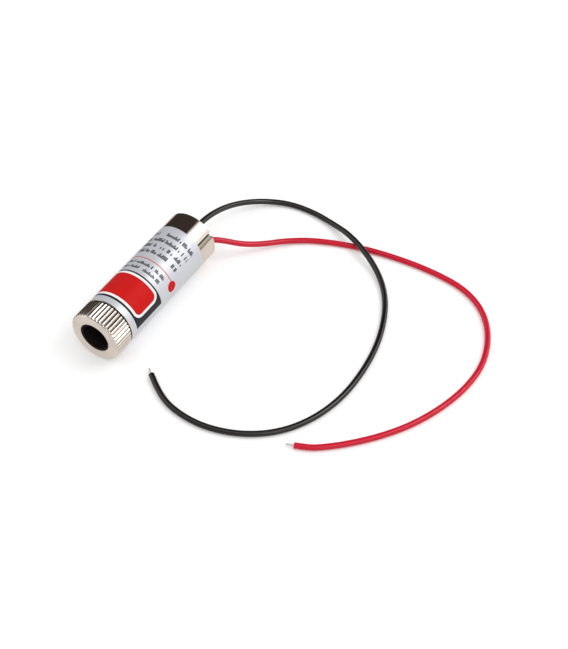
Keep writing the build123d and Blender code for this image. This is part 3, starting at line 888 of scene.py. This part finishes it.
board_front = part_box("driver_board")[0].y / MM
solder_metal = metal("solder_metal", (206, 207, 209), (176, 178, 182), 0.22, 900, 12e-6)
joints = {
    "lead_solder": join("lead_joints", [lead_hill(BLACK_ROUTE), lead_hill(RED_ROUTE)]),
    "diode_solder": join("pin_joints", [
        solder_hill(across, board_front + PIN_HILL[1] / 2, side, PIN_HILL) for across, side in PIN_SPOTS
    ]),
}
for node, joint in joints.items():
    paint(joint, solder_metal)
    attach(joint, "housing")
    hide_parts(node)
for name, route in (("black_joint_strands", BLACK_ROUTE), ("red_joint_strands", RED_ROUTE)):
    strands = bare_end(name, route[::-1])
    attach(strands, "housing")
print("joints have", [len(joint.data.polygons) for joint in joints.values()], "faces")

# %% [markdown]
# The two wires lie free on the table. Each is carried by the housing, as its bare end is, and the
# solid that stands for it is hidden.

# %% Wires on the housing
for piece, node, route, length in (
    (black_wire, "black_lead", BLACK_ROUTE, 0.150), (red_wire, "red_lead", RED_ROUTE, 0.136)
):
    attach(piece, "housing")
    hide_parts(node)

# %% [markdown]
# The table is white to the camera and still takes the module's shadow. Polished metal only shows what
# stands round it, so the room matters as much as the finish: a bright panel on the right, a dark room
# behind on the left and a dim one in front, as in the photograph, and the warm white of the table
# below. Only reflections see that room. All else is lit by an even, pale light and one soft lamp, and
# the table is lifted a little for the camera, so that it reads as white paper but keeps the shadow.

# %% Table
TABLE_GLOW, TABLE_LIFT = 0.92, 0.16
bpy.ops.object.select_all(action="DESELECT")
bpy.ops.mesh.primitive_plane_add(size=3.0, location=(0, 0, 0))
table = bpy.context.object
table.name = "table"
paper = finish_named("table_paper")
paper.surface(Base_Color=colour(246, 246, 246), Roughness=0.9)
seen_in_metal = paper.add("ShaderNodeLightPath", output="Is Glossy Ray")
seen_in_glass = paper.add("ShaderNodeLightPath", output="Is Transmission Ray")
x, y, z = paper.axes()
# In reflections the table fades into the dark room on the left, apart from its front
shade = paper.ease(x, -16.0, -34.0) * paper.ease(y, -20.0, -12.0)
tint = paper.blend(shade, colour(240, 232, 224), colour(62, 54, 50))
glow = paper.add("ShaderNodeEmission", None, {"Color": tint, "Strength": TABLE_GLOW})
plain = Value(paper, paper.tree.nodes["Principled BSDF"].outputs[0])
reflected = (seen_in_metal + seen_in_glass).maths("MINIMUM", 1.0) * (0.7 + shade * 0.3)
mixed = paper.add("ShaderNodeMixShader", None, {0: reflected, 1: plain, 2: glow})
to_camera = paper.add("ShaderNodeLightPath", output="Is Camera Ray") * TABLE_LIFT
lift = paper.add("ShaderNodeEmission", None, {"Color": colour(255, 255, 255), "Strength": to_camera})
seen = paper.add("ShaderNodeAddShader", None, {0: mixed, 1: lift})
paper.feed(paper.tree.nodes["Material Output"], {"Surface": seen})
paint(table, paper.owner)

# %% Room
ROOM_LEVEL, WALL_LEVEL, PANEL_LEVEL = 0.9, 1.05, 0.85
DARK_SIDE, BACK = (-0.974, 0.0, 0.225), (0, 1, 0)
FRONT_DIMNESS = 0.75
bpy.context.scene.world = bpy.data.worlds.new("room")
room = Shader(bpy.context.scene.world)
direction = room.add("ShaderNodeTexCoord", output="Generated")


def facing(way):
    """How far a direction points a given way: 1 is that way, 0 across it and -1 the other way."""
    return room.add(
        "ShaderNodeVectorMath", {"operation": "DOT_PRODUCT"}, {0: direction, 1: way}, output="Value"
    )


def background(tone, strength):
    return room.add("ShaderNodeBackground", None, {"Color": tone, "Strength": strength})


to_dark, to_back = facing(DARK_SIDE), facing(BACK)
dark_side = room.ease(to_dark, -0.07, 0.1) * room.ease(to_back, 0.2, 0.38)
dark = dark_side.maths("MAXIMUM", room.ease(to_back, -0.5, -0.72) * FRONT_DIMNESS)
panel = room.ease(to_dark, -0.05, -0.14) * room.ease(to_dark, -0.66, -0.5)
wall = room.blend(dark, colour(255, 253, 250), colour(54, 45, 42))
even = background(colour(255, 255, 255), ROOM_LEVEL)
reflected = background(wall, WALL_LEVEL + panel * PANEL_LEVEL)
white = background(colour(255, 255, 255), 1.0)
in_metal = room.add("ShaderNodeLightPath", output="Is Glossy Ray")
by_camera = room.add("ShaderNodeLightPath", output="Is Camera Ray")
lit = room.add("ShaderNodeMixShader", None, {0: in_metal, 1: even, 2: reflected})
shown = room.add("ShaderNodeMixShader", None, {0: by_camera, 1: lit, 2: white})
room.feed(room.tree.nodes["World Output"], {"Surface": shown})


def lamp(name, place, aim, size, power):
    """A square soft lamp at a place, turned towards a point, both in millimetres."""
    data = bpy.data.lights.new(name, "AREA")
    data.size, data.energy = size * MM, power
    lit = bpy.data.objects.new(name, data)
    lit.location = Vector(place) * MM
    direction = Vector(aim) * MM - lit.location
    lit.rotation_euler = direction.to_track_quat("-Z", "Y").to_euler()
    bpy.context.scene.collection.objects.link(lit)


lamp("key_lamp", (260, 160, 380), (20, 10, 0), 260, 0.55)
bpy.context.scene.view_settings.view_transform = "Standard"
print("the room has", len(room.tree.nodes), "nodes and the table", len(paper.tree.nodes))
